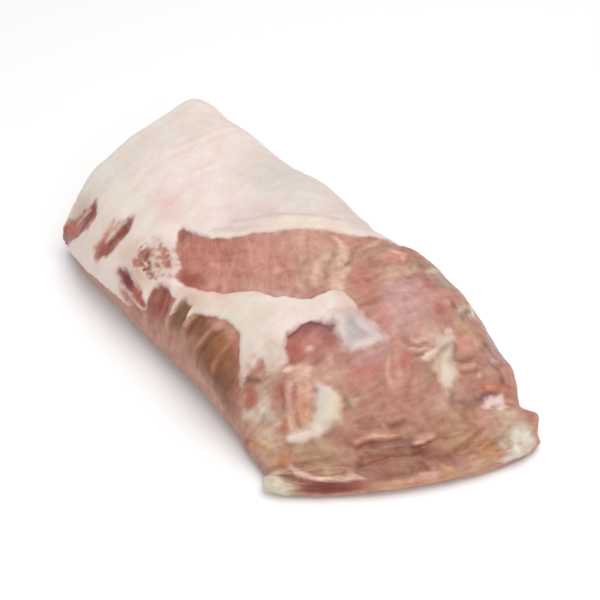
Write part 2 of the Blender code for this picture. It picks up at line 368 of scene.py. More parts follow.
# The edge of the lip's upper layer, the folds of the flap, and the faint folds of the cap.
LEDGE = ((361, 88), (362, 80), (367, 76), (369, 64), (369, 50))
FOLDS = (((346, 13), (346, 25), (348, 38)), ((351, -11), (353, -2), (355, 6)),
         ((377, -12), (371, 1), (368, 8)), ((373, 14), (371, 24), (372, 38)), ((339, 4), (338, 14)),
         ((357, -52), (361, -40), (366, -30)), ((352, -40), (357, -28), (360, -16)))
CAP_FOLDS = (((120, 56), (140, 36), (164, 15), (174, -8), (178, -40)),
             ((104, 40), (122, 22), (155, -13)), ((38, 42), (44, 27), (49, 4), (52, -14)),
             ((60, 60), (74, 44), (80, 20)), ((20, -20), (60, -44), (120, -60)),
             ((30, -70), (80, -82), (140, -80)), ((10, -88), (60, -96), (110, -92)),
             ((150, -40), (172, -62), (178, -84)))
# A fold is a rounded ridge with a groove beside it. Each kind: its lines, the ridge's rise and half
# width, how far the groove lies beyond it, and the groove's depth and half width.
FOLD_KINDS = (((LEDGE,), 1.8, 2.2, 5.0, 2.6, 3.0),
              (FOLDS, 2.1, 1.8, 3.6, 1.9, 2.6),
              (CAP_FOLDS, 0.55, 2.5, 5.0, 0.45, 3.0))
# Round forms: centre, half sizes and rise, which is below 0 for a hollow. They are the bulge on the
# rib side, the dark muscle beside the silver skin, the small muscle in the white crescent with the
# hollow in its middle, and the notch beside the flap.
SIDE_MUSCLE = ((240, 118), (38, 26), 3.0)
DARK_MUSCLE = ((277, 53), (17, 17), 4.5)
SMALL_MUSCLE = ((316, 60), (27, 27), 3.5)
SMALL_MUSCLE_CORE = ((317, 63), (15, 7), -2.5)
NOTCH = ((334, -62), (12, 16), -6.0)
SWELLS = (((8, -14), (26, 30), 3.5), ((2, 118), (42, 42), -6.0), ((90, -22), (40, 36), -1.8),
          ((142, -25), (40, 44), 4.0), ((186, -34), (13, 26), -1.5), ((224, -38), (30, 36), 5.5),
          ((256, -56), (20, 24), 2.0), ((273, -66), (18, 26), -4.0), ((314, -78), (24, 26), 4.5),
          ((353, -74), (17, 20), 9.0), ((364, 98), (12, 12), 4.0))
# The groove round a round form: its depth and its half width as a share of the form's.
RIM_GROOVES = ((DARK_MUSCLE, 1.4, 0.12), (SMALL_MUSCLE_CORE, 1.2, 0.16))
# The flap is wrinkled, but not at its two sides, and its thin lip is knobbly.
WRINKLE_RISE = (0.0, (2.1, 344, 356))
WRINKLED_SHARE = (0.0, (1.0, -76, -50), (-1.0, 84, 104))
WRINKLE_STRETCH = 0.3
KNOBBLY_SHARE = (0.0, (1.0, 354, 370))
FIBRE_STRETCH = (0.35, 1.0, 1.0)
# The relief fades out down through these heights, so the underside stays flat.
FADING_HEIGHTS = (0, 12)


def bell(distance, width):
    """1 at a distance of 0, falling off to either side as exp(-(distance / width)^2)."""
    return np.exp(-(distance / width) ** 2)


def moved(line, step):
    """A line shifted along the run."""
    return tuple((place[0] + step, place[1]) for place in line)


def outward(points):
    """Unit normals: the cross product of the steps along and round the grid."""
    along = np.gradient(points, axis=0)
    around = (np.roll(points, -1, axis=1) - np.roll(points, 1, axis=1)) / 2
    normal = np.cross(along, around)
    return normal / np.maximum(np.linalg.norm(normal, axis=2, keepdims=True), 1e-9)


height = np.maximum(changing(CAP_RISE, cap) * changing(CAP_SHARE, cap), changing(BAND_RISE, band))
height = height + changing(FLECK_RISE, np.maximum(seam, flecks))
height = height + changing(SLOT_RISE, slots) + changing(CRESCENT_RISE, crescent)
for centre, radii, rise in (SIDE_MUSCLE, DARK_MUSCLE, SMALL_MUSCLE, SMALL_MUSCLE_CORE, NOTCH) + SWELLS:
    height = height + rise * dome(centre, radii)
for (centre, radii, rise), depth, width in RIM_GROOVES:
    height = height - depth * bell(from_middle(bent_run, bent_girth, centre, radii) - 1.0, width)
height = height + changing(CREASE_RISE, line_distance(CREASE))
height = height + changing(BELOW_CREASE_RISE, line_distance(moved(CREASE[1:-1], BELOW_CREASE)))
for lines, rise, width, step, depth, groove_width in FOLD_KINDS:
    for line in lines:
        height = height + rise * bell(line_distance(line), width)
        height = height - depth * bell(line_distance(moved(line, step)), groove_width)
for line in SEAM[:2] + (WINDOW_SEAM,):
    height = height - SEAM_GROOVE_DEPTH * bell(line_distance(line), SEAM_GROOVE_WIDTH)

# Wrinkles are the sharp crests that 1 - |lumps| leaves, drawn out along the girth.
wrinkle_place = np.stack((bent_run, WRINKLE_STRETCH * bent_girth, np.zeros_like(girth)), axis=-1)
wrinkles = (1.0 - np.abs(lumps(wrinkle_place, 7.0, 37))) ** 3 - 0.4
height = height + changing(WRINKLE_RISE, bent_run) * changing(WRINKLED_SHARE, bent_girth) * wrinkles

# Fat is softly lumpy, and lean has lumps drawn out along its fibres.
fat_share = ease(fat, -1.0, 1.0)
lean_lumps = rough((0.9, 14.0, 33), (0.22, 2.4, 35)) + 0.45 * lumps(plain * FIBRE_STRETCH, 3.2, 34)
height = height + fat_share * rough((0.7, 19.0, 31), (0.25, 6.5, 32)) + (1.0 - fat_share) * lean_lumps
height = height + changing(KNOBBLY_SHARE, bent_run) * rough((1.8, 9.0, 53))

# The relief fades out at the foot and towards the middle of both ends.
open_scale = ring_rule(ring)[1]
open_face = open_scale ** 6
height = height * np.where(on_face, open_face, open_scale) * ease(plain_z, *FADING_HEIGHTS)
face_height = (1.0 - open_face) * (0.5 * fat_share + rough((0.3, 5.0, 36)))
height = height + np.where(on_face, face_height, 0.0)

# From here on lengths are in metres.
MM = 0.001
points = plain + outward(plain) * height[..., None]
points[..., 2] = np.maximum(points[..., 2], 0.0)
middle = (points.min(axis=(0, 1)) + points.max(axis=(0, 1))) / 2
points = (points - middle * (1, 1, 0)) * MM
# The relief stays inside the solid's box.
solid_size = np.array(cad_high) - np.array(cad_low)
points = points * np.minimum(1.0, solid_size / np.ptp(points, axis=(0, 1)))

# ---------------------------------------------------------------------------------- tints
# The lean runs from brownish pink to dark crimson where the air has not reached it, and the fat
# from pinkish cream to bluish silver skin. Each tint is laid over the last by a soft mask.

# How bright a white surface of the joint looks under the studio's light.
LIGHT_LEVEL = 1.08
LEAN_COLOUR = (188, 134, 117)
# Painted shade of the lean on its low sides, near the floor.
LOW_SHADE_LEAN_COLOUR = (166, 114, 94)
CUT_LEAN_COLOUR = (172, 98, 88)
LOIN_EYE_COLOUR = (204, 138, 124)
FAT_COLOUR = (245, 234, 226)
# Painted shade of the fat on its low sides, near the floor.
LOW_SHADE_FAT_COLOUR = (216, 206, 198)
SILVER_COLOUR = (196, 183, 179)
# The silver skin's tint eases in from this far outside its edge to this far inside.
SILVER_EDGE = (-5, 4)
# Painted shade: the low sides are tinted darker by height, towards the floor, but not under the flap, by
# run.
LOW_SIDE_SHADE = (1.0, (-1.0, 4, 24))
LOW_LEAN_SHADE_SHARE = (0.4, (-0.4, 350, 366))
LOW_FAT_SHADE_SHARE = 0.5
# The lip lies past this stretch of the run, and short of this one of the girth.
LIP_RUN = (352, 362)
LIP_GIRTH = (130, 140)

# Each stain: colour, place, half sizes and strength; those so noted are painted shade. First the lean
# window over the opened muscle.
WINDOW_STAINS_AND_SHADE = (
    ((189, 122, 107), (150, 72), (46, 26), 1.0),
    ((197, 134, 117), (188, 50), (30, 26), 0.9),
    ((204, 150, 132), (190, 20), (24, 18), 0.9),
    ((196, 150, 132), (222, 26), (24, 16), 1.0),
    ((210, 172, 150), (214, 14), (14, 11), 0.9),
    ((170, 92, 82), (166, 92), (22, 8), 1.0),
    # A painted shadow under the cap's edge over the window.
    ((160, 98, 88), (122, 75), (12, 7), 0.9),
    ((222, 164, 146), (203, 48), (4, 4), 0.9),
    ((208, 146, 130), (169, 74), (7, 3), 0.8),
    ((206, 140, 126), (160, 85), (6, 4), 0.7),
    ((208, 146, 132), (187, 86), (7, 3), 0.8),
    ((178, 112, 98), (196, 64), (14, 5), 0.6),
    ((186, 138, 118), (222, 38), (12, 4), 0.7))
# The slope of lean nearest the flap, with the dark and the small muscle.
NEAR_STAINS_AND_SHADE = (
    ((194, 128, 112), (205, -8), (10, 9), 1.0),
    ((188, 138, 120), (222, -10), (9, 12), 0.9),
    ((206, 140, 122), (227, -15), (5, 8), 0.8),
    ((189, 124, 108), (238, 10), (18, 11), 1.0),
    ((196, 156, 128), (240, -13), (9, 13), 0.9),
    ((170, 146, 130), (250, -45), (12, 12), 0.9),
    ((186, 110, 106), (254, -31), (6, 5), 0.9),
    ((196, 148, 142), (264, -12), (26, 20), 1.0),
    ((206, 150, 138), (264, -37), (9, 9), 0.8),
    ((180, 104, 104), (274, -34), (6, 5), 0.9),
    ((148, 92, 72), (271, -46), (4, 3), 1.0),
    ((198, 152, 126), (283, -47), (10, 8), 0.9),
    ((190, 152, 118), (294, -56), (9, 5), 0.8),
    ((214, 148, 134), (298, -46), (6, 8), 0.9),
    ((168, 118, 96), (309, -44), (4, 6), 0.8),
    ((190, 146, 132), (306, -64), (16, 9), 0.8),
    ((186, 150, 140), (298, -72), (10, 8), 0.8),
    ((158, 102, 82), (323, -67), (4, 3), 0.9),
    ((166, 128, 106), (335, -42), (5, 8), 0.9),
    ((186, 140, 124), (327, -36), (6, 6), 0.7),
    ((204, 172, 164), (292, -25), (10, 5), 0.7),
    ((176, 136, 110), (313, -17), (9, 5), 0.8),
    ((194, 118, 98), (305, -5), (7, 5), 0.8),
    ((220, 156, 136), (309, 1), (8, 3), 0.8),
    ((164, 110, 104), (291, -7), (4, 3), 0.8),
    ((180, 120, 98), (258, 8), (14, 7), 1.0),
    ((190, 118, 114), (276, 4), (10, 5), 0.9),
    ((188, 116, 104), (304, 20), (9, 15), 1.0),
    ((188, 132, 110), (322, 14), (12, 20), 0.8),
    ((196, 148, 146), (297, 16), (5, 13), 0.8),
    ((182, 115, 105), (278, 53), (22, 21), 1.0),
    # Painted shadow: this stain and the next darken the dark muscle's left and upper rim.
    ((146, 84, 84), (266, 48), (8, 14), 1.0),
    ((156, 90, 88), (274, 41), (11, 5), 0.9),
    ((182, 100, 88), (276, 63), (11, 6), 0.8),
    ((200, 154, 134), (300, 44), (9, 10), 0.8),
    ((208, 164, 142), (297, 60), (9, 8), 0.9),
    ((184, 140, 120), (290, 77), (9, 6), 0.9),
    ((182, 106, 90), (304, 75), (10, 5), 1.0),
    ((224, 162, 134), (316, 61), (13, 5), 1.0),
    ((206, 160, 126), (328, 63), (7, 6), 0.9),
    ((236, 188, 164), (308, 57), (5, 3), 0.8),
    ((218, 160, 150), (307, 68), (11, 3), 1.0),
    ((226, 192, 160), (324, 70), (8, 3), 0.9),
    ((196, 118, 98), (326, 76), (5, 4), 0.9),
    ((128, 96, 70), (313, 73), (3, 3), 0.9),
    ((214, 178, 168), (303, 86), (8, 5), 0.9),
    ((212, 168, 156), (325, 84), (6, 6), 0.9),
    ((174, 104, 84), (291, 96), (12, 6), 1.0),
    ((224, 186, 168), (292, -24), (11, 9), 0.45),
    ((214, 178, 160), (226, 33), (7, 7), 0.4),
    ((222, 172, 158), (282, 53), (2.5, 3), 0.8),
    ((212, 166, 150), (289, 43), (3, 3), 0.7),
    ((184, 132, 114), (307, 9), (7, 6), 0.6),
    ((206, 174, 156), (320, 33), (5, 6), 0.6))
# The flap.
FLAP_STAINS = (
    ((180, 132, 100), (356, -26), (20, 28), 1.0),
    ((190, 136, 98), (368, -34), (8, 8), 0.8),
    ((204, 140, 128), (352, -42), (5, 4), 0.8),
    ((196, 166, 140), (349, -58), (9, 11), 0.8),
    ((148, 94, 72), (363, 18), (17, 30), 1.0),
    ((138, 84, 64), (355, 14), (4, 8), 0.9),
    ((144, 90, 72), (353, 26), (5, 6), 0.8),
    ((140, 84, 64), (356, 33), (4, 4), 0.8),
    ((182, 128, 106), (342, 12), (10, 24), 0.9),
    ((181, 139, 109), (350, 62), (20, 22), 1.0),
    ((176, 116, 96), (346, 42), (9, 8), 0.8),
    ((198, 138, 92), (348, 84), (9, 7), 1.0),
    ((214, 180, 154), (332, 88), (16, 10), 1.0),
    ((134, 88, 60), (353, 88), (3, 3), 0.9),
    ((120, 62, 46), (362, 44), (4, 3), 0.7),
    ((186, 98, 78), (374, 46), (4, 4), 0.9),
    ((216, 182, 152), (359, 88), (6, 5), 0.9),
    ((196, 148, 118), (378, 12), (5, 30), 1.0),
    ((174, 146, 136), (352, 97), (12, 5), 0.7),
    ((212, 160, 140), (350, 16), (5, 18), 0.5),
    ((156, 102, 82), (368, -6), (6, 9), 0.7),
    ((166, 116, 92), (355, 53), (9, 10), 0.7),
    ((208, 166, 146), (335, -23), (9, 11), 0.5),
    ((204, 176, 150), (361, -46), (7, 7), 0.5),
    ((208, 174, 152), (341, 57), (6, 6), 0.5),
    ((178, 122, 102), (335, 34), (6, 9), 0.5),
    ((180, 124, 104), (336, 9), (7, 8), 0.5))
# The rib side, with the strips of lean between the ribs.
RIB_STAINS = (
    ((146, 92, 60), (240, 112), (54, 20), 1.0),
    ((126, 76, 52), (258, 118), (28, 10), 0.8),
    ((192, 122, 98), (236, 97), (32, 5), 0.9),
    ((148, 74, 66), (23, 108), (14, 14), 1.0),
    ((208, 140, 128), (36, 111), (8, 7), 1.0),
    ((186, 104, 96), (12, 128), (20, 10), 1.0),
    ((128, 74, 66), (69, 97), (11, 8), 1.0),
    ((160, 84, 76), (69, 104), (13, 5), 0.9),
    ((156, 112, 82), (73, 110), (10, 5), 0.9),
    ((160, 82, 72), (66, 118), (12, 7), 0.9),
    ((204, 132, 120), (58, 112), (5, 6), 0.9),
    ((188, 124, 112), (124, 98), (26, 12), 1.0),
    ((146, 80, 70), (120, 101), (13, 4), 1.0),
    ((206, 142, 118), (116, 94), (14, 3), 0.8),
    ((166, 106, 74), (122, 108), (12, 3), 0.8),
    ((120, 52, 52), (111, 121), (18, 6), 1.0),
    ((176, 84, 64), (136, 125), (12, 5), 1.0),
    ((138, 66, 58), (158, 117), (19, 15), 1.0),
    ((166, 84, 74), (164, 110), (7, 7), 0.7),
    ((134, 96, 66), (186, 113), (13, 12), 1.0),
    ((138, 84, 60), (206, 110), (13, 9), 1.0),
    ((156, 112, 104), (8, 142), (15, 10), 0.9),
    ((194, 154, 134), (310, 73), (9, 7), 0.6),
    ((208, 178, 160), (291, 85), (10, 6), 0.7),
    ((216, 192, 174), (304, 86), (7, 5), 0.5),
    ((184, 120, 106), (150, 116), (7, 7), 0.6),
    ((198, 152, 130), (236, 98), (10, 4), 0.6),
    ((216, 164, 150), (60, 102), (9, 8), 0.6),
    ((196, 148, 128), (226, 101), (9, 5), 0.6),
    ((206, 176, 156), (309, 93), (11, 6), 0.6),
    ((178, 144, 124), (320, 81), (5, 5), 0.7),
    ((206, 152, 134), (289, 102), (6, 5), 0.5))
# The back, below the edge of the cap.
BACK_STAINS = (
    ((178, 112, 98), (226, -92), (26, 18), 0.9),
    ((198, 146, 134), (262, -86), (26, 14), 0.9),
    ((160, 98, 84), (296, -96), (22, 14), 0.8),
    ((196, 140, 122), (236, -64), (18, 10), 0.7),
    ((150, 88, 78), (214, -84), (12, 12), 0.8),
    ((208, 164, 152), (248, -76), (16, 8), 0.8),
    ((140, 80, 70), (278, -92), (12, 8), 0.8),
    ((212, 152, 132), (318, -88), (12, 9), 0.8),
    ((158, 94, 82), (60, -104), (50, 10), 0.8),
    ((200, 138, 122), (110, -110), (30, 8), 0.7),
    ((168, 102, 86), (330, -96), (20, 14), 0.8))
# The underside.
UNDER_STAINS = (
    ((176, 108, 94), (60, -180), (50, 40), 0.8),
    ((196, 138, 124), (140, -190), (40, 40), 0.8),
    ((168, 98, 84), (220, -180), (40, 36), 0.8),
    ((182, 118, 102), (80, 190), (50, 36), 0.8),
    ((160, 96, 80), (180, 190), (36, 40), 0.8),
    ((190, 132, 116), (260, 180), (40, 36), 0.8))
# Each streak: colour, softness of its sides, strength, and its stroke. Those so noted are painted shade and
# painted highlights.
LEAN_STREAKS_SHADE_AND_HIGHLIGHTS = (
    ((192, 140, 128), 3.0, 0.8, ((160, 47, 1.5), (170, 32, 2.5), (178, 20, 1.5))),
    # A painted shadow round the dark muscle's upper left rim.
    ((118, 68, 68), 1.6, 0.9, ((266, 64, 0.6), (263, 54, 1.4), (264, 44, 1.6), (270, 38, 1.2),
                               (280, 36, 0.6))),
    ((202, 152, 142), 3.5, 0.9, ((214, 70, 1.5), (226, 60, 3.0), (241, 50, 3.0))),
    ((228, 188, 168), 2.6, 0.85, WINDOW_SEAM),
    ((228, 190, 166), 1.8, 0.9, ((287, 70, 0.8), (290, 61, 1.6), (293, 54, 1.2))),
    ((206, 146, 108), 2.0, 0.8, ((366, -40, 1.0), (371, -34, 1.4))),
    ((158, 112, 90), 1.6, 0.9, ((207, -7, 0.8), (214, 0, 1.2), (219, 6, 1.4), (222, 11, 0.8))),
    ((166, 118, 96), 1.6, 0.8, ((207, 8, 0.8), (215, 17, 1.3), (222, 26, 1.2), (229, 31, 0.8))),
    ((224, 184, 158), 1.6, 0.8, ((205, 14, 0.8), (212, 24, 1.2), (220, 33, 1.4), (232, 38, 1.0))),
    ((170, 122, 102), 1.6, 0.7, ((206, 28, 0.6), (212, 36, 1.0), (220, 44, 0.8))),
    ((216, 172, 152), 1.8, 0.7, ((216, 42, 0.8), (224, 46, 1.4), (234, 46, 1.0))),
    ((186, 136, 130), 2.5, 0.8, ((292, 0, 1.0), (298, 14, 2.2), (296, 28, 1.5), (286, 35, 1.0))),
    ((152, 120, 102), 2.2, 0.9, ((232, -48, 1.2), (236, -36, 2.2), (238, -26, 1.4))),
    ((206, 182, 166), 2.0, 0.8, ((234, -53, 0.8), (238, -44, 1.6), (243, -36, 0.8))),
    ((150, 118, 96), 1.6, 0.9, ((208, -31, 0.8), (211, -26, 1.8), (214, -22, 0.8))),
    ((152, 122, 106), 1.6, 0.9, ((215, -34, 0.8), (219, -29, 1.5), (225, -25, 1.0))),
    ((214, 170, 144), 1.8, 0.8, ((204, -30, 0.8), (208, -18, 1.4), (212, -8, 1.0))),
    ((164, 122, 102), 1.8, 0.9, ((210, -24, 0.8), (215, -12, 1.6), (219, -2, 1.2))),
    ((228, 168, 152), 1.8, 0.9, ((221, -22, 1.0), (226, -25, 1.6), (232, -22, 0.8))),
    ((204, 166, 144), 2.0, 0.8, ((238, -30, 1.0), (242, -22, 2.0), (243, -14, 1.0))),
    ((162, 122, 108), 1.8, 0.8, ((246, -33, 1.0), (247, -20, 1.6))),
    ((226, 206, 190), 2.8, 1.0, ((260, -73, 2.0), (267, -67, 2.8), (272, -60, 1.0))),
    ((146, 118, 96), 2.4, 1.0, ((267, -65, 1.2), (275, -56, 2.6), (280, -49, 1.2))),
    ((206, 180, 164), 1.6, 0.8, ((266, -62, 0.8), (271, -54, 1.5), (274, -49, 0.6))),
    ((160, 118, 114), 1.8, 0.8, ((294, -75, 1.0), (299, -62, 1.5))),
    ((208, 178, 172), 1.6, 0.8, ((302, -81, 0.8), (307, -68, 1.3), (312, -60, 0.6))),
    ((158, 112, 104), 1.6, 0.7, ((309, -78, 0.8), (314, -66, 1.2))),
    ((194, 108, 86), 1.8, 1.0, ((326, -78, 1.0), (327, -64, 1.5), (327, -52, 1.6))),
    ((226, 152, 124), 1.6, 0.9, ((327, -70, 0.7), (327, -62, 1.1), (327, -56, 0.7))),
    ((222, 188, 166), 1.4, 0.8, ((314, -53, 0.6), (319, -51, 1.2))),
    # A painted shadow in the notch to the left of the fat knuckle.
    ((136, 90, 90), 1.6, 1.0, ((331, -67, 0.8), (332, -56, 1.8), (333, -46, 1.4))),
    ((140, 116, 98), 1.2, 0.9, ((297, -38, 0.8), (304, -37, 1.0), (312, -36, 1.2))),
    ((248, 214, 194), 1.6, 1.0, ((301, -25, 1.0), (304, -20, 2.2), (305, -15, 0.8))),
    ((218, 182, 162), 1.6, 0.5, ((322, -27, 0.8), (328, -24, 1.3), (336, -23, 0.8))),
    ((160, 120, 104), 1.4, 0.8, ((325, -31, 0.8), (334, -28, 1.2))),
    ((218, 172, 160), 1.2, 0.9, ((293, -22, 0.7), (292, -11, 0.7))),
    ((156, 106, 96), 1.2, 0.9, ((296, -21, 0.7), (296, -10, 0.7))),
    ((218, 172, 158), 1.2, 0.9, ((299, -20, 0.7), (298, -9, 0.7))),
    ((156, 104, 92), 1.2, 0.9, ((303, -16, 0.7), (302, -8, 0.7))),
    ((160, 104, 90), 1.4, 0.7, ((308, -8, 0.7), (314, -6, 1.0), (318, -1, 0.7))),
    ((224, 168, 150), 1.4, 0.7, ((302, 6, 0.7), (308, 8, 0.9), (316, 7, 0.7))),
    ((226, 178, 156), 1.4, 0.9, ((300, 58, 0.6), (305, 56, 1.2), (310, 57, 0.8))),
    ((154, 92, 80), 1.4, 0.7, ((300, 65, 0.6), (308, 65, 0.9), (314, 67, 0.6))),
    ((150, 84, 76), 1.6, 0.8, ((296, 73, 0.8), (303, 72, 1.2), (311, 73, 0.8))),
    ((166, 106, 74), 1.4, 0.7, ((316, 65, 0.6), (322, 66, 0.9), (329, 66, 0.6))),
    ((232, 186, 150), 1.4, 0.8, ((314, 58, 0.6), (321, 60, 1.0), (328, 61, 0.7))),
    ((160, 130, 104), 1.4, 0.9, ((316, 37, 0.8), (320, 36, 1.2), (324, 36, 0.8))),
    ((160, 132, 104), 1.6, 0.8, ((333, 44, 0.8), (337, 48, 1.2), (338, 53, 0.7))),
    ((212, 192, 172), 3.0, 0.8, ((321, 78, 1.2), (313, 84, 3.0), (306, 92, 3.4), (299, 102, 2.4))),
    ((160, 140, 118), 1.8, 0.8, ((311, 88, 1.0), (315, 88, 1.0))),
    ((160, 92, 68), 2.0, 0.8, ((328, 96, 0.8), (320, 104, 1.8), (312, 112, 1.4))),
    ((206, 150, 108), 2.0, 0.8, ((338, 88, 0.8), (329, 96, 1.8), (322, 106, 1.4))),
    ((128, 94, 68), 2.0, 0.8, ((286, 86, 0.8), (282, 92, 1.6), (276, 97, 1.0))),
    # The next ten streaks paint light on the flap's folds: the pale ones are painted highlights along the
    # ridges, the dark ones painted shade in the grooves and the crease.
    ((226, 172, 148), 1.4, 1.0, ((351, -10, 0.6), (353, -3, 1.1), (354, 4, 0.6))),
    ((232, 180, 158), 1.4, 1.0, ((346, 15, 0.8), (346, 25, 1.5), (347, 31, 1.0))),
    ((208, 144, 124), 1.4, 0.9, ((347, 30, 1.4), (348, 39, 1.2))),
    ((130, 80, 64), 1.2, 0.6, ((350, 16, 0.7), (350, 30, 1.0))),
    ((118, 70, 54), 1.2, 0.6, ((351, 4, 0.9), (352, 10, 1.1))),
    ((120, 72, 54), 1.2, 0.9, ((358, 1, 0.9), (359, 8, 1.0))),
    ((124, 68, 48), 1.4, 1.0, ((361, 3, 1.0), (364, 4, 1.7), (368, 5, 1.0))),
    ((140, 86, 66), 1.4, 0.6, ((354, -5, 1.0), (359, -1, 1.3))),
    ((220, 164, 128), 2.0, 0.9, ((367, -1, 0.8), (374, -7, 2.2), (382, -13, 1.6))),
    ((238, 192, 166), 1.4, 0.9, ((369, 5, 1.1), (372, 2, 1.1))),
    ((148, 96, 76), 1.4, 0.6, ((333, 17, 0.5), (333, 31, 0.6))),
    ((148, 92, 74), 1.4, 0.7, ((336, 16, 0.7), (335, 32, 0.8))),
    ((152, 90, 74), 1.4, 0.7, ((340, 20, 0.7), (338, 33, 0.8))),
    ((214, 160, 140), 1.2, 0.8, ((334, 17, 0.5), (334, 30, 0.5))),
    ((148, 94, 74), 1.6, 0.9, ((338, 6, 1.3), (338, 14, 1.3))),
    ((122, 66, 50), 1.6, 0.8, ((355, 39, 0.6), (361, 44, 1.0), (366, 48, 0.8), (372, 50, 1.2))),
    ((162, 122, 92), 2.4, 0.4, ((344, 58, 0.7), (352, 66, 1.0), (356, 74, 0.7))),
    ((212, 178, 148), 2.4, 0.5, ((339, 69, 1.0), (344, 73, 1.8), (349, 76, 0.8))),
    ((218, 184, 170), 4.0, 0.7, ((204, -80, 0.8), (220, -73, 2.4), (240, -72, 0.8))),
    ((210, 174, 160), 4.0, 0.7, ((268, -104, 0.8), (290, -98, 2.4), (312, -99, 0.8))),
    ((140, 82, 74), 3.0, 0.7, ((210, -88, 0.8), (238, -80, 1.6), (272, -84, 0.8))),
    ((146, 88, 76), 3.0, 0.6, ((286, -86, 0.8), (312, -94, 1.6), (340, -90, 0.8))),
    ((216, 172, 150), 3.0, 0.6, ((326, -100, 0.8), (342, -92, 1.8), (354, -86, 0.8))),
    ((200, 150, 130), 2.5, 0.7, ((222, 98, 1.2), (223, 112, 1.6), (222, 124, 1.0))),
    ((110, 66, 48), 2.5, 0.7, ((230, 102, 1.0), (231, 116, 1.6), (232, 128, 1.0))),
    ((190, 128, 104), 2.5, 0.6, ((244, 98, 1.0), (247, 108, 1.8), (250, 120, 1.2))),
    ((110, 66, 48), 2.5, 0.6, ((202, 102, 1.0), (204, 112, 1.6), (206, 122, 1.0))),
    ((196, 152, 118), 3.0, 0.8, ((198, 106, 1.5), (197, 120, 2.0))),
    ((196, 148, 122), 2.5, 0.8, ((171, 106, 1.0), (174, 116, 2.0), (178, 126, 2.0))),
    ((182, 110, 96), 2.0, 0.7, ((160, 108, 0.8), (163, 118, 1.4), (165, 130, 1.0))),
    ((214, 172, 156), 1.6, 0.9, ((20, 106, 0.6), (17, 112, 1.6), (12, 120, 1.0))),
    ((120, 60, 58), 1.6, 0.8, ((28, 106, 0.8), (26, 114, 1.8), (22, 121, 1.0))),
    ((220, 184, 168), 2.0, 0.9, ((66, 96, 0.8), (65, 105, 2.4), (63, 114, 1.2))),
    ((136, 70, 66), 1.6, 0.8, ((72, 99, 0.8), (71, 107, 2.0), (68, 115, 1.0))),
    ((228, 190, 176), 1.2, 0.9, ((112, 119, 0.5), (122, 120, 1.1), (132, 122, 0.6))),
    ((130, 62, 62), 1.6, 0.8, ((102, 123, 0.8), (112, 124, 1.6), (122, 125, 0.8))),
    ((150, 94, 80), 1.6, 0.8, ((309, -36, 0.7), (310, -44, 1.2), (308, -51, 0.7))),
    ((156, 102, 84), 1.6, 0.7, ((316, -36, 0.7), (317, -45, 1.1), (315, -54, 0.7))),
    ((222, 174, 152), 1.4, 0.7, ((313, -38, 0.7), (313, -50, 1.0))),
    ((146, 102, 102), 1.8, 0.7, ((297, -63, 0.7), (303, -66, 1.2), (309, -70, 0.7))),
    ((146, 98, 96), 1.8, 0.7, ((311, -61, 0.7), (316, -65, 1.1), (321, -68, 0.7))),
    ((154, 108, 90), 2.4, 0.7, ((333, -31, 0.8), (336, -40, 1.8), (336, -48, 0.8))))
# The pale upper layer of the lip, and the lean above it.
LEDGE_STREAKS = (
    ((154, 104, 80), 2.5, 0.8, ((366, 8, 1.0), (365, 24, 2.4), (365, 38, 1.0))),
    ((232, 196, 170), 1.6, 1.0, ((370, 46, 0.5), (370, 60, 1.3), (367, 71, 1.5))),
    ((238, 202, 186), 1.8, 1.0, ((367, 73, 1.6), (361, 78, 2.2), (355, 81, 1.0))),
    ((120, 88, 68), 1.2, 0.9, ((363, 82, 0.6), (362, 90, 0.9))))
# Stains of the flap's lip are placed by y and z, because girth crowds together there.
LIP_STAINS = (
    ((204, 150, 118), (-14, 8), (38, 3), 1.0),
    ((124, 52, 38), (-60, 9), (18, 4.6), 1.0),
    ((214, 204, 182), (-86, 7), (9, 9), 1.0),
    ((196, 176, 150), (-80, 14), (7, 4), 0.8),
    ((214, 196, 182), (54, 12), (13, 7), 1.0),
    ((232, 222, 214), (44, 9), (7, 3), 0.9),
    ((228, 218, 208), (59, 14), (5, 3), 0.9),
    ((176, 140, 116), (49, 15), (5, 2), 0.7),
    ((204, 150, 112), (70, 15), (6, 6), 0.9),
    ((214, 164, 146), (-12, 11), (11, 2.6), 0.8),
    ((150, 88, 72), (-30, 15), (9, 2.6), 0.7),
    ((204, 160, 128), (20, 11), (14, 3), 0.8),
    ((150, 94, 74), (0, 15.5), (11, 2.4), 0.8))
# Tones of the cut muscles, placed by y and z, all of one strength.
FACE_STAIN_STRENGTH = 0.8
FACE_STAINS = (
    ((188, 116, 102), (46, 18), (24, 14)),
    ((216, 156, 140), (6, 50), (26, 12)),
    ((192, 122, 110), (4, 14), (26, 10)),
    ((186, 108, 96), (-30, 62), (24, 8)),
    ((148, 80, 72), (-80, 40), (16, 12)),
    ((160, 92, 82), (-58, 10), (24, 8)),
    ((196, 128, 112), (-50, 40), (12, 9)))
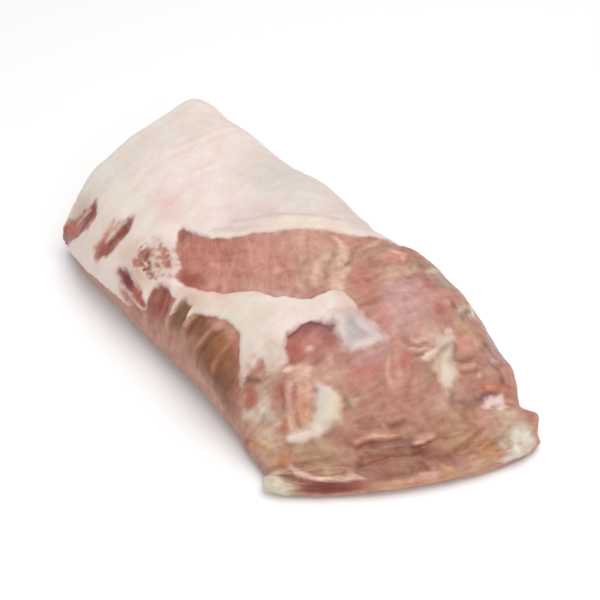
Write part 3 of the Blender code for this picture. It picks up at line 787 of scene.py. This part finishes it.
# Tones of the cap, the band and the small patches of fat, and their films and crumpled edges. Grey streaks
# just inside the cap's edge beside the window are painted shade.
FAT_STAINS = (
    ((230, 229, 219), (0, 50), (34, 90), 0.9),
    ((222, 219, 209), (130, -5), (60, 32), 1.0),
    ((232, 224, 212), (30, 5), (30, 20), 0.6),
    ((242, 216, 206), (88, 70), (26, 14), 0.9),
    ((226, 213, 207), (150, 32), (28, 24), 0.9),
    ((242, 240, 224), (60, 88), (46, 18), 0.9),
    ((236, 226, 211), (36, 114), (50, 20), 0.9),
    ((196, 180, 160), (10, 114), (12, 18), 0.7),
    ((228, 208, 196), (98, 108), (20, 10), 1.0),
    ((224, 202, 188), (128, 96), (28, 14), 1.0),
    ((226, 194, 172), (122, 114), (24, 4), 1.0),
    ((178, 146, 146), (141, 88), (3, 2), 0.9),
    ((190, 160, 160), (136, 92), (3, 2), 0.9),
    ((176, 138, 134), (146, 92), (3, 2), 0.9),
    ((196, 168, 168), (142, 96), (3, 2), 0.9),
    ((184, 140, 130), (132, 86), (4, 2), 0.9),
    ((198, 160, 152), (150, 99), (4, 2), 0.9),
    ((224, 212, 204), (178, -30), (26, 22), 0.9),
    ((236, 204, 194), (60, -84), (30, 9), 0.8),
    ((240, 210, 200), (150, -76), (24, 14), 0.8),
    ((226, 214, 196), (110, -96), (40, 10), 0.8),
    ((230, 200, 186), (20, -100), (22, 8), 0.8),
    ((242, 214, 198), (190, -3), (10, 8), 0.8),
    ((228, 228, 208), (225, 84), (34, 16), 0.9),
    ((230, 223, 207), (236, 76), (20, 9), 0.8),
    ((226, 208, 186), (252, 25), (19, 7), 1.0),
    ((236, 224, 214), (252, 46), (15, 18), 0.9),
    ((214, 211, 190), (274, 76), (17, 9), 1.0),
    ((230, 226, 210), (256, 92), (22, 9), 0.9),
    ((220, 200, 182), (284, 78), (9, 8), 0.8),
    ((228, 206, 190), (274, 96), (8, 7), 0.8),
    ((220, 200, 178), (185, 100), (22, 8), 1.0),
    ((231, 219, 194), (321, 48), (20, 16), 1.0),
    ((238, 219, 184), (321, 41), (15, 5), 1.0),
    ((208, 204, 198), (311, 50), (8, 5), 0.9),
    ((218, 210, 200), (322, 52), (8, 4), 0.8),
    ((204, 192, 166), (330, 47), (4, 8), 0.9),
    ((232, 212, 196), (336, 62), (6, 10), 1.0),
    ((238, 226, 212), (333, 71), (6, 5), 1.0),
    ((216, 204, 180), (308, -29), (28, 16), 1.0),
    ((228, 206, 184), (293, -36), (6, 5), 0.9),
    ((232, 224, 204), (315, -27), (6, 6), 0.9),
    ((222, 190, 162), (220, 12), (30, 26), 1.0),
    ((240, 224, 218), (335, -60), (10, 16), 1.0),
    ((236, 216, 200), (208, 87), (20, 9), 0.7),
    ((242, 236, 226), (14, 0), (24, 18), 0.7),
    ((232, 204, 192), (140, 92), (9, 5), 0.5),
    ((232, 222, 212), (265, 33), (5, 5), 0.5))
FAT_STREAKS_AND_SHADE = (
    ((158, 144, 120), 2.0, 0.9, ((297, -37, 0.6), (301, -31, 1.6), (304, -25, 0.8))),
    ((166, 156, 132), 1.8, 0.8, ((305, -35, 0.6), (309, -33, 1.3), (313, -35, 0.6))),
    ((184, 172, 146), 1.8, 0.7, ((305, -28, 0.6), (310, -25, 1.1), (316, -23, 0.6))),
    ((168, 150, 124), 1.6, 0.8, ((331, 44, 0.6), (335, 49, 1.4), (337, 54, 0.8))),
    ((236, 224, 196), 3.0, 0.9, ((186, -4, 1.2), (176, 6, 2.2), (167, 18, 1.8), (161, 28, 0.8))),
    # Painted shade just inside the cap's edge beside the window.
    ((206, 196, 190), 2.2, 0.8, ((180, -12, 0.6), (169, 2, 1.0), (160, 16, 1.2), (152, 30, 1.0),
                                 (142, 46, 0.6))),
    ((236, 204, 198), 2.4, 0.9, ((178, 10, 0.6), (171, 22, 1.4), (166, 33, 1.0), (160, 44, 0.6))),
    # Painted shade just inside the cap's edge beside the window.
    ((214, 202, 198), 3.0, 0.8, ((160, 34, 0.8), (152, 47, 2.0), (140, 59, 1.0))),
    # A painted shadow line along the cap's lower edge over the window.
    ((150, 138, 128), 1.8, 0.8, ((124, 71, 0.6), (135, 68, 1.4), (143, 64, 0.6))),
    ((240, 200, 190), 3.0, 0.7, ((170, 98, 1.0), (190, 92, 1.5), (204, 84, 1.5), (222, 66, 1.0))))
# Streaks along the folds of the silver skin: the pale ones are painted highlights, and the lilac one along
# its right and lower border is painted shade.
SILVER_STREAKS_SHADE_AND_HIGHLIGHTS = (
    # Painted highlights: this streak and the next.
    ((228, 217, 211), 2.6, 0.9, ((285, 10, 0.6), (287, 17, 1.7), (287, 25, 1.2))),
    ((230, 220, 213), 2.8, 0.9, ((262, 36, 1.6), (268, 33, 2.4), (277, 31, 0.8))),
    ((174, 162, 161), 2.2, 0.7, ((268, 27, 0.8), (275, 23, 1.2), (282, 17, 0.7))),
    ((182, 172, 172), 1.8, 0.7, ((275, 30, 0.7), (281, 25, 1.3), (283, 19, 0.8))),
    # A painted highlight.
    ((218, 206, 200), 1.8, 0.7, ((269, 21, 0.6), (276, 17, 1.0), (283, 12, 0.6))),
    ((176, 160, 158), 1.4, 0.7, ((277, 12, 0.4), (282, 9, 0.7), (286, 6, 0.5))),
    # Painted shade along the right and lower border.
    ((198, 164, 164), 2.0, 0.9, ((290, 6, 0.8), (292, 18, 1.3), (291, 29, 1.2), (284, 34, 1.3))))


def tint(colour):
    """A colour as it looks in the light, 0 to 255, as linear values by the sRGB curve."""
    seen = np.array(colour) / 255.0
    return np.where(seen <= 0.04045, seen / 12.92, ((seen + 0.055) / 1.055) ** 2.4) / LIGHT_LEVEL


def laid(under, colour, mask):
    """A colour laid over the one below it by a mask of 0 to 1."""
    return under + (tint(colour) - under) * np.clip(mask, 0.0, 1.0)[..., None]


def oval(centre, radii, strength=1.0):
    """Soft oval mask, full near its centre and gone a little outside its half sizes."""
    return strength * (1.0 - ease(from_middle(bent_run, bent_girth, centre, radii), 0.2, 1.35))


def cross_oval(across, up, centre, radii, full, gone):
    """Soft oval mask over y and z, full up to one share of its half sizes and gone at another."""
    return 1.0 - ease(from_middle(across, up, centre, radii), full, gone)


def stained(under, stains):
    """Lay stains, and the ovals of painted shade among them, over a colour, one after the other."""
    for colour, centre, radii, strength in stains:
        under = laid(under, colour, oval(centre, radii, strength))
    return under


def streaked(under, streaks):
    """Lay streaks over a colour, each fading out across its soft sides."""
    for colour, soft, strength, line in streaks:
        under = laid(under, colour, strength * ease(stroke(line, raggedness=0.4), -soft, 0.6 * soft))
    return under


lean_tint = np.broadcast_to(tint(LEAN_COLOUR), plain.shape)
lean_tint = stained(lean_tint, WINDOW_STAINS_AND_SHADE + NEAR_STAINS_AND_SHADE + FLAP_STAINS + RIB_STAINS + BACK_STAINS
                    + UNDER_STAINS)
lean_tint = streaked(lean_tint, LEAN_STREAKS_SHADE_AND_HIGHLIGHTS)
on_lip = ease(bent_run, *LIP_RUN) * (1.0 - ease(bent_girth, *LIP_GIRTH))
lip_y = plain_y + rough((1.5, 6.0, 51))
lip_z = plain_z + rough((1.2, 6.0, 52))
for colour, centre, radii, strength in LIP_STAINS:
    mask = cross_oval(lip_y, lip_z, centre, radii, full=0.5, gone=1.2)
    lean_tint = laid(lean_tint, colour, strength * on_lip * mask)
lean_tint = streaked(lean_tint, LEDGE_STREAKS)
# Painted shade: the lean's low sides darken towards the floor.
low_side_shade = changing(LOW_SIDE_SHADE, plain_z)
lean_tint = laid(lean_tint, LOW_SHADE_LEAN_COLOUR, low_side_shade * changing(LOW_LEAN_SHADE_SHARE, bent_run))
lean_tint = laid(lean_tint, CUT_LEAN_COLOUR, on_face)
loin_eye = cross_oval(face_y, face_z, *MUSCLES[0], full=0.85, gone=1.15)
lean_tint = laid(lean_tint, LOIN_EYE_COLOUR, on_face * loin_eye)
for colour, centre, radii in FACE_STAINS:
    mask = cross_oval(face_y, face_z, centre, radii, full=0.2, gone=1.4)
    lean_tint = laid(lean_tint, colour, FACE_STAIN_STRENGTH * on_face * mask)

fat_tint = np.broadcast_to(tint(FAT_COLOUR), plain.shape)
fat_tint = streaked(stained(fat_tint, FAT_STAINS), FAT_STREAKS_AND_SHADE)
fat_tint = laid(fat_tint, SILVER_COLOUR, ease(silver, *SILVER_EDGE))
fat_tint = streaked(fat_tint, SILVER_STREAKS_SHADE_AND_HIGHLIGHTS)
# Painted shade: the fat's low sides darken towards the floor.
fat_tint = laid(fat_tint, LOW_SHADE_FAT_COLOUR, LOW_FAT_SHADE_SHARE * low_side_shade)

# The grain lies across the piece past a slanting line on the run and on the rib side, and along the
# lip on the flap.
CROSSWISE_RUN = (236, 262)
CROSSWISE_GIRTH = (92, 104)
LIPWISE_RUN = (336, 350)
slanting_run = bent_run + 0.5 * (60.0 - bent_girth)
crosswise = np.maximum(ease(slanting_run, *CROSSWISE_RUN), ease(bent_girth, *CROSSWISE_GIRTH))
lipwise = ease(bent_run, *LIPWISE_RUN)

# Marbling is fine pale fat in the lean. There is none on the flap, and more of it in two ovals, beside
# the fat and on the cut face, and less in one oval. One strip between the ribs is bloody.
MARBLING = (0.2, (-0.8, 326, 340))
MARBLED_OVALS = (((222, 8), (26, 26), 0.8), ((290, -50), (40, 26), 0.6), ((262, -18), (30, 22), -0.6))
MARBLING_BY_FAT = (0.0, (0.5, -9, -1))
FACE_MARBLING = 0.9
FACE_FLECK_SHARE = 0.6
FLECK_SHARE = 0.2
BLOODY_OVAL = ((133, 122), (8, 5), 0.3)
marbling = changing(MARBLING, bent_run) + sum(oval(*spot) for spot in MARBLED_OVALS)
marbling = np.where(on_face, FACE_MARBLING, marbling + changing(MARBLING_BY_FAT, fat))
fleck_share = np.where(on_face, FACE_FLECK_SHARE, FLECK_SHARE * (1.0 - crosswise))
blood = oval(*BLOODY_OVAL)

# ---------------------------------------------------------------------------------- skin and finish
# One closed skin carries the whole joint. The lean is moist and softly shiny, with its fibres in
# relief, and the fat is smoother and paler, with the lean shining through its thin edge.

GRAIN_SLANT = math.radians(28)
CROSS_SLANT = math.radians(80)
LIP_SLANT = math.radians(58)
# Tones that multiply a tint, the shadow by a share.
DARK_LEAN = (0.72, 0.58, 0.54, 1)
PALE_LEAN = (1.26, 1.435, 1.45, 1)
PINK_FAT = (0.99, 0.92, 0.91, 1)
VEINED_FAT = (0.94, 0.93, 0.90, 1)
SHEET_SHADOW = (0.80, 0.66, 0.66, 1)
SHADOW_SHARE = 0.3
# Colours that take a tint's place, that of thin fat by a share.
MARBLE = (0.66, 0.44, 0.35, 1)
BLOOD = (0.55, 0.10, 0.05, 1)
THIN_FAT = (0.66, 0.40, 0.36, 1)
THIN_FAT_SHARE = 0.4
MARBLING_WEIGHT = 0.12
EDGE_RAGGEDNESS = 1.8
# How far the fat stands out of the lean in the bump, whose depth is in metres.
FAT_STEP = 1.2
BUMP_DEPTH = 0.8 * MM
BUMP_STRENGTH = 0.6
LEAN_ROUGHNESS = 0.34
ROUGHNESS_SPREAD = 0.22
EXTRA_FAT_ROUGHNESS = 0.08


def closed_skin(name, grid):
    """Quads between neighbouring rings of a grid, and a fan of triangles at each of its two ends."""
    inner = grid[1:-1].reshape(-1, 3)
    rows, columns = grid.shape[0] - 2, grid.shape[1]
    here = np.arange(rows * columns).reshape(rows, columns)
    beside = np.roll(here, -1, axis=1)
    quads = np.stack((here[:-1], here[1:], beside[1:], beside[:-1]), axis=-1).reshape(-1, 4)
    near_end, far_end = rows * columns, rows * columns + 1
    near_fan = np.stack((np.full(columns, near_end), here[0], beside[0]), axis=-1)
    far_fan = np.stack((np.full(columns, far_end), beside[-1], here[-1]), axis=-1)
    faces = quads.tolist() + near_fan.tolist() + far_fan.tolist()
    mesh = bpy.data.meshes.new(name)
    mesh.from_pydata(np.vstack((inner, grid[0].mean(axis=0), grid[-1].mean(axis=0))), [], faces)
    mesh.shade_smooth()
    piece = bpy.data.objects.new(name, mesh)
    bpy.context.scene.collection.objects.link(piece)
    return piece


def store(piece, name, values):
    """Keep a number or a colour of each grid point as an attribute of the mesh's points."""
    ends = np.stack((values[0].mean(axis=0), values[-1].mean(axis=0)))
    inner = values[1:-1].reshape((-1,) + values.shape[2:])
    flat = np.concatenate((inner, ends)).astype(np.float32)
    if flat.ndim == 1:
        piece.data.attributes.new(name, "FLOAT", "POINT").data.foreach_set("value", flat)
    else:
        colours = np.concatenate((flat, np.ones((len(flat), 1), np.float32)), axis=1)
        piece.data.attributes.new(name, "FLOAT_COLOR", "POINT").data.foreach_set("color", colours.ravel())


class Shade:
    """One output of a shader node. Arithmetic on it adds Math nodes, and node adds any other."""

    def __init__(self, tree, socket=None):
        self.tree = tree
        self.socket = socket

    def node(self, kind, settings=None, values=None, out=0):
        """Add a node: its type, its settings, then the values or links of its sockets."""
        made = self.tree.nodes.new(kind)
        for name, value in (settings or {}).items():
            setattr(made, name, value)
        for name, value in (values or {}).items():
            if isinstance(value, Shade):
                self.tree.links.new(value.socket, made.inputs[name])
            else:
                made.inputs[name].default_value = value
        return Shade(self.tree, made.outputs[out])

    def math(self, operation, first, second):
        """A Math node of two numbers or links."""
        return self.node("ShaderNodeMath", {"operation": operation}, {0: first, 1: second})

    def __add__(self, other):
        return self.math("ADD", self, other)

    def __sub__(self, other):
        return self.math("SUBTRACT", self, other)

    def __mul__(self, other):
        return self.math("MULTIPLY", self, other)

    def __radd__(self, other):
        return self.math("ADD", other, self)

    def __rsub__(self, other):
        return self.math("SUBTRACT", other, self)

    def __rmul__(self, other):
        return self.math("MULTIPLY", other, self)

    def __abs__(self):
        return self.node("ShaderNodeMath", {"operation": "ABSOLUTE"}, {0: self})

    def eased(self, start, end):
        """Go smoothly from 0 at start to 1 at end."""
        return self.node("ShaderNodeMapRange", {"interpolation_type": "SMOOTHSTEP"},
                         {0: self, 1: start, 2: end, 3: 0.0, 4: 1.0})

    def between(self, under, over):
        """Mix two colours, under where this is 0 and over where it is 1."""
        return self.node("ShaderNodeMix", {"data_type": "RGBA"}, {0: self, 6: under, 7: over}, out=2)

    def toned(self, tone, share=1.0):
        """This colour multiplied by a tone, by a share of 0 to 1."""
        return self.node("ShaderNodeMix", {"data_type": "RGBA", "blend_type": "MULTIPLY"},
                         {0: share, 6: self, 7: tone}, out=2)

    def attribute(self, name, out=2):
        """A number (out 2), a vector (out 1) or a colour (out 0) kept on the mesh's points."""
        return self.node("ShaderNodeAttribute", {"attribute_name": name}, out=out)

    def noise(self, size, detail=2.0, distortion=0.0):
        """Noise over this place, from 0 to 1, with lumps of a size in metres."""
        return self.node("ShaderNodeTexNoise", {}, {"Vector": self, "Scale": 1.0 / size, "Detail": detail,
                                                    "Roughness": 0.5, "Distortion": distortion})

    def drawn_out(self, slant, length):
        """This place turned by a slant and shrunk along it, so that noise over it makes fibres."""
        return self.node("ShaderNodeMapping", {"vector_type": "TEXTURE"},
                         {"Vector": self, "Rotation": (0, 0, slant), "Scale": (length, 1.0, 1.0)})

    def feed(self, socket):
        """Link this to a socket of the shader."""
        self.tree.links.new(self.socket, socket)


def raw_pork():
    """Moist lean with its grain and marbling, under smooth fat with crisp edges."""
    material = bpy.data.materials.new("raw_pork")
    material.use_nodes = True
    tree = material.node_tree
    shader = tree.nodes["Principled BSDF"]
    start = Shade(tree)
    place = start.node("ShaderNodeTexCoord", out=3)
    flat_place = start.attribute("flat_place", out=1)

    fat_edge = start.attribute("fat_edge") + (place.noise(5 * MM) - 0.5) * EDGE_RAGGEDNESS
    is_fat = fat_edge.eased(-1.0, 1.0)

    # The grain runs slantwise down the opened loin muscle, nearly across the piece elsewhere, and
    # level along the lip on the flap.
    slanted = flat_place.drawn_out(GRAIN_SLANT, 4.5)
    crossing = flat_place.drawn_out(CROSS_SLANT, 3.3)
    slant_fibres = slanted.noise(5.5 * MM, distortion=0.5)
    cross_fibres = crossing.noise(4.5 * MM, distortion=0.5)
    lip_fibres = place.drawn_out(LIP_SLANT, 3.6).noise(4.0 * MM, distortion=0.5)
    fibres = slant_fibres + (cross_fibres - slant_fibres) * start.attribute("crosswise")
    fibres = fibres + (lip_fibres - fibres) * start.attribute("lipwise")

    lean = start.attribute("lean_tint", out=0)
    broad = place.noise(16 * MM, 3.0)
    spots = place.noise(5 * MM, 3.0)
    tone = broad - 0.5 + (spots - 0.5) * 0.9 + (fibres - 0.5) * 0.9 + 0.5
    mottled = tone.between(lean.toned(DARK_LEAN), lean.toned(PALE_LEAN))
    # Thin sheets between the bundles show as fine pale lines, here and there.
    sheets = 1.0 - abs(slanted.noise(8.0 * MM, distortion=1.0) * 2.0 - 1.0)
    marbled_here = place.noise(11 * MM) + start.attribute("marbling") * MARBLING_WEIGHT
    marble_lines = sheets.eased(0.90, 1.0) * marbled_here.eased(0.50, 0.70)
    marble_lines = marble_lines * start.attribute("fleck_share")
    marbled = marble_lines.between(mottled, MARBLE)
    bloody = (start.attribute("blood") * spots.eased(0.3, 0.6)).between(marbled, BLOOD)
    # Where a thin sheet of fat runs out over the lean, its edge leaves a darker line.
    shadow = fat_edge.eased(-3.2, -1.0) * broad.eased(0.45, 0.65) * SHADOW_SHARE
    lean_colour = bloody.toned(SHEET_SHADOW, shadow)

    blotches = place.noise(13 * MM, 4.0)
    veins = crossing.noise(9 * MM, 3.0, 0.6)
    fat = start.attribute("fat_tint", out=0).toned(PINK_FAT, blotches.eased(0.4, 0.7))
    fat = fat.toned(VEINED_FAT, veins.eased(0.42, 0.75))
    # Fat thins out at its edge, so the lean shines through it there.
    thin = (1.0 - fat_edge.eased(0.0, 3.0)) * THIN_FAT_SHARE
    colour = is_fat.between(lean_colour, thin.between(fat, THIN_FAT))
    colour.feed(shader.inputs["Base Color"])

    sheen = place.noise(7 * MM, 3.0)
    roughness = LEAN_ROUGHNESS + ROUGHNESS_SPREAD * sheen + EXTRA_FAT_ROUGHNESS * is_fat
    roughness.feed(shader.inputs["Roughness"])

    lean_height = fibres * 0.5 + spots * 0.6 + marble_lines
    fat_height = blotches * 0.8 + place.noise(2.2 * MM, 4.0) * 0.35 + FAT_STEP
    surface = lean_height + (fat_height - lean_height) * is_fat
    bump = start.node("ShaderNodeBump", {},
                      {"Strength": BUMP_STRENGTH, "Distance": BUMP_DEPTH, "Height": surface})
    bump.feed(shader.inputs["Normal"])

    shader.inputs["Subsurface Weight"].default_value = 0.12
    shader.inputs["Subsurface Radius"].default_value = (1.0, 0.35, 0.25)
    shader.inputs["Subsurface Scale"].default_value = 3 * MM
    shader.inputs["Specular IOR Level"].default_value = 0.45
    return material


# The cut face is grained by its own y and z, and the rest by its run and girth.
cut_place = np.stack((face_y, face_z, plain_x), axis=-1)
unrolled_place = np.stack((run, girth, np.zeros_like(girth)), axis=-1)

stored = {"fat_edge": fat, "marbling": marbling, "fleck_share": fleck_share, "blood": blood,
          "crosswise": crosswise, "lipwise": lipwise, "lean_tint": lean_tint, "fat_tint": fat_tint,
          "flat_place": np.where(on_face[..., None], cut_place, unrolled_place) * MM}

meat = closed_skin("meat", points)
for name, values in stored.items():
    store(meat, name, values)
meat.data.materials.append(raw_pork())
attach(meat, "root")
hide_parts("pork_sirloin")

# ---------------------------------------------------------------------------------- studio
# A plain pale floor under even, soft light from above, as in a catalogue picture, with the camera
# at the photograph's height and side.

FLOOR_REACH = 4.0
FLOOR_COLOUR = (0.98, 0.98, 0.98, 1)
FLOOR_ROUGHNESS = 0.9
# Each light: its name, place, size and watts. Both face the same point.
LIGHTS = (("over_light", (0.1, 0.2, 1.6), 1.4, 15.7), ("front_light", (1.2, -0.6, 1.1), 0.9, 5.4))
LIGHT_AIM = (0, 0, 0)
WHITE = (1.0, 1.0, 1.0, 1)
AROUND_STRENGTH = 0.52
CAMERA_AIM = (-0.020, 0.035, 0.0)
CAMERA_AZIMUTH = 53.0
CAMERA_ELEVATION = 40.0
CAMERA_DISTANCE = 0.88
CAMERA_LENS = 75.0
CAMERA_SENSOR = 36.0

floor_corners = [(x * FLOOR_REACH, y * FLOOR_REACH, 0) for x, y in ((-1, -1), (1, -1), (1, 1), (-1, 1))]
floor_mesh = bpy.data.meshes.new("floor")
floor_mesh.from_pydata(floor_corners, [], [(0, 1, 2, 3)])
floor = bpy.data.objects.new("floor", floor_mesh)
bpy.context.scene.collection.objects.link(floor)
floor_paint = bpy.data.materials.new("pale_floor")
floor_paint.use_nodes = True
floor_shader = floor_paint.node_tree.nodes["Principled BSDF"]
floor_shader.inputs["Base Color"].default_value = FLOOR_COLOUR
floor_shader.inputs["Roughness"].default_value = FLOOR_ROUGHNESS
floor_mesh.materials.append(floor_paint)


def soft_light(name, place, size, watts):
    """A square area light that faces the joint."""
    light = bpy.data.lights.new(name, "AREA")
    light.size = size
    light.energy = watts
    lamp = bpy.data.objects.new(name, light)
    x, y, z = (LIGHT_AIM[i] - place[i] for i in range(3))
    lamp.location = place
    lamp.rotation_euler = (math.atan2(math.hypot(x, y), -z), 0.0, math.atan2(y, x) - math.pi / 2)
    bpy.context.scene.collection.objects.link(lamp)


for light_name, light_place, light_size, light_watts in LIGHTS:
    soft_light(light_name, light_place, light_size, light_watts)

world = bpy.data.worlds.new("studio")
world.use_nodes = True
around = world.node_tree.nodes["Background"]
around.inputs["Color"].default_value = WHITE
around.inputs["Strength"].default_value = AROUND_STRENGTH
bpy.context.scene.world = world
bpy.context.scene.view_settings.view_transform = "Standard"

camera_data = bpy.data.cameras.new("camera")
camera_data.lens = CAMERA_LENS
camera_data.sensor_width = CAMERA_SENSOR
camera = bpy.data.objects.new("camera", camera_data)
azimuth, elevation = math.radians(CAMERA_AZIMUTH), math.radians(CAMERA_ELEVATION)
camera.location = (CAMERA_AIM[0] + CAMERA_DISTANCE * math.sin(azimuth) * math.cos(elevation),
                   CAMERA_AIM[1] - CAMERA_DISTANCE * math.cos(azimuth) * math.cos(elevation),
                   CAMERA_AIM[2] + CAMERA_DISTANCE * math.sin(elevation))
camera.rotation_euler = (math.radians(90.0 - CAMERA_ELEVATION), 0.0, azimuth)
bpy.context.scene.collection.objects.link(camera)
bpy.context.scene.camera = camera
